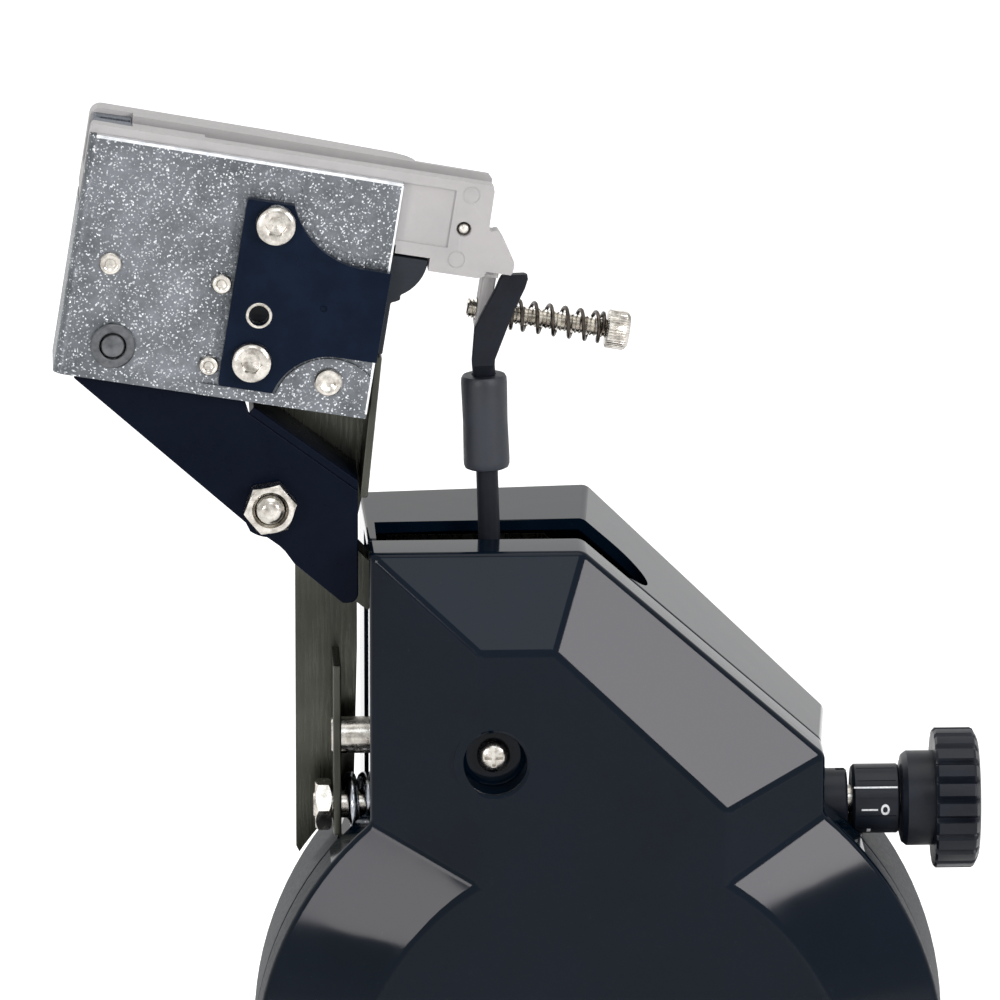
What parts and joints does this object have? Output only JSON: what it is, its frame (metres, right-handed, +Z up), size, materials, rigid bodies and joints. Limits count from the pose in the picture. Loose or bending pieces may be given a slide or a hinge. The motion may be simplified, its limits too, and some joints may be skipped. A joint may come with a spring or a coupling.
{
  "type": "racket stringing machine tension head",
  "caption": "Crank-driven lock-out tension head of a racket stringing machine: string gripper on a sprung rocker, brake lever, tension knob and glossy two-shell housing on a rail saddle.",
  "frame": {"origin": "middle of the bounding box at floor level, under the rail saddle's skirts", "axes": "+X along the rail towards the tension knob, +Y away from the user and the crank, +Z up"},
  "size_m": [0.1986, 0.1492, 0.3224],
  "materials": {
    "gloss_black_abs": "moulded ABS, high gloss, blue-black",
    "knob_plastic": "moulded nylon, semi-gloss black",
    "block_plastic": "satin black",
    "grip_rubber": "charcoal rubber tube",
    "black_steel": "satin blue-black coated steel",
    "zinc_steel": "sparkling zinc plate on steel sheet",
    "grey_casting": "warm light grey painted die casting",
    "nickel_steel": "nickel-plated steel, warm",
    "dark_steel": "dark phosphated steel",
    "spring_steel": "drawn spring wire",
    "drum_iron": "turned cast iron",
    "bush_bronze": "sintered bronze",
    "saddle_aluminium": "extruded aluminium",
    "white_nylon": "natural nylon"
  },
  "bodies": {
    "head": {"front_shell": "gloss_black_abs", "rear_shell": "gloss_black_abs", "chassis_front_plate": "zinc_steel", "chassis_rear_plate": "zinc_steel", "pivot_bracket": "zinc_steel", "knob_bracket": "zinc_steel", "base_plate": "zinc_steel", "pivot_bolt": "nickel_steel", "pivot_nut": "nickel_steel", "pivot_bush": "bush_bronze", "index_sleeve": "knob_plastic", "bearing_front": "bush_bronze", "bearing_rear": "bush_bronze", "lever_pin": "nickel_steel", "shell_post": "nickel_steel", "shell_screw": "nickel_steel", "rail_saddle": "saddle_aluminium", "glide_pad_left": "white_nylon", "glide_pad_right": "white_nylon", "saddle_screw_left": "nickel_steel", "saddle_screw_right": "nickel_steel", "idler_pin_left": "nickel_steel", "idler_pin_right": "nickel_steel", "tension_spring": "spring_steel"},
    "rocker": {"gripper_bracket": "zinc_steel", "rocker_spine": "zinc_steel", "rocker_arm": "black_steel", "jaw_casting": "grey_casting", "guide_block": "block_plastic", "cam_plate": "black_steel", "cam_screw_upper": "nickel_steel", "cam_screw_lower": "nickel_steel", "cross_stud": "dark_steel", "rivet_left": "nickel_steel", "rivet_middle": "nickel_steel", "rivet_lower": "nickel_steel", "rivet_right": "nickel_steel", "casting_pin": "nickel_steel", "stop_screw": "nickel_steel", "trip_spring": "spring_steel"},
    "front_jaw": {"front_jaw": "dark_steel"},
    "rear_jaw": {"rear_jaw": "dark_steel"},
    "trip_screw": {"trip_screw": "nickel_steel"},
    "lever": {"brake_lever": "black_steel", "lever_sleeve": "grip_rubber", "brake_shoe": "block_plastic"},
    "knob": {"tension_knob": "knob_plastic", "scale_barrel": "knob_plastic", "tension_rod": "nickel_steel", "rod_end_nut": "nickel_steel"},
    "seat": {"spring_seat": "dark_steel"},
    "crank": {"crank_shaft": "nickel_steel", "brake_drum": "drum_iron", "chain_sprocket": "dark_steel", "crank_arm": "zinc_steel", "crank_nut": "nickel_steel"},
    "grip": {"crank_grip": "knob_plastic"},
    "idler_left": {"idler_left": "white_nylon"},
    "idler_right": {"idler_right": "white_nylon"}
  },
  "joints": [
    {"name": "rocker_tilt", "type": "hinge", "parent": "head", "child": "rocker", "pos_m": [-0.0532, 0.03615, 0.238], "axis": [0, -1, 0], "range_deg": [0, 2], "stiffness_Nm_per_rad": 8, "springref_deg": -2.86},
    {"name": "brake_lever_swing", "type": "hinge", "parent": "head", "child": "lever", "pos_m": [-0.005, 0.03615, 0.197], "axis": [0, -1, 0], "range_deg": [0, 1.1]},
    {"name": "front_jaw_slide", "type": "slide", "parent": "rocker", "child": "front_jaw", "axis": [-0.9858, 0.0523, 0.1597], "range_m": [0, 0.006]},
    {"name": "rear_jaw_slide", "type": "slide", "parent": "rocker", "child": "rear_jaw", "axis": [-0.9858, -0.0523, 0.1597], "range_m": [0, 0.006]},
    {"name": "trip_screw_turn", "type": "hinge", "parent": "rocker", "child": "trip_screw", "pos_m": [0.00269, 0.03915, 0.2761], "axis": [0.9871, 0, -0.1599], "range_deg": [-180, 180]},
    {"name": "tension_knob_turn", "type": "hinge", "parent": "head", "child": "knob", "pos_m": [0.017, 0.03615, 0.1694], "axis": [1, 0, 0], "range_deg": [0, 1800]},
    {"name": "spring_seat_slide", "type": "slide", "parent": "head", "child": "seat", "axis": [-1, 0, 0], "range_m": [0, 0.0101], "deforming": ["tension_spring"]},
    {"name": "crank_turn", "type": "hinge", "parent": "head", "child": "crank", "pos_m": [0.017, 0.04465, 0.105], "axis": [0, 1, 0], "continuous": true},
    {"name": "crank_grip_spin", "type": "hinge", "parent": "crank", "child": "grip", "pos_m": [0.017, -0.03835, 0.02], "axis": [0, 1, 0], "continuous": true},
    {"name": "idler_left_spin", "type": "hinge", "parent": "head", "child": "idler_left", "pos_m": [-0.008, 0.06015, 0.059], "axis": [0, 1, 0], "continuous": true},
    {"name": "idler_right_spin", "type": "hinge", "parent": "head", "child": "idler_right", "pos_m": [0.042, 0.06015, 0.059], "axis": [0, 1, 0], "continuous": true}
  ],
  "couplings": [
    {"joint": "brake_lever_swing", "follows": "rocker_tilt", "ratio": 0.53},
    {"joint": "rear_jaw_slide", "follows": "front_jaw_slide", "ratio": 1},
    {"joint": "spring_seat_slide", "follows": "tension_knob_turn", "m_per_rad": 0.00031831}
  ]
}
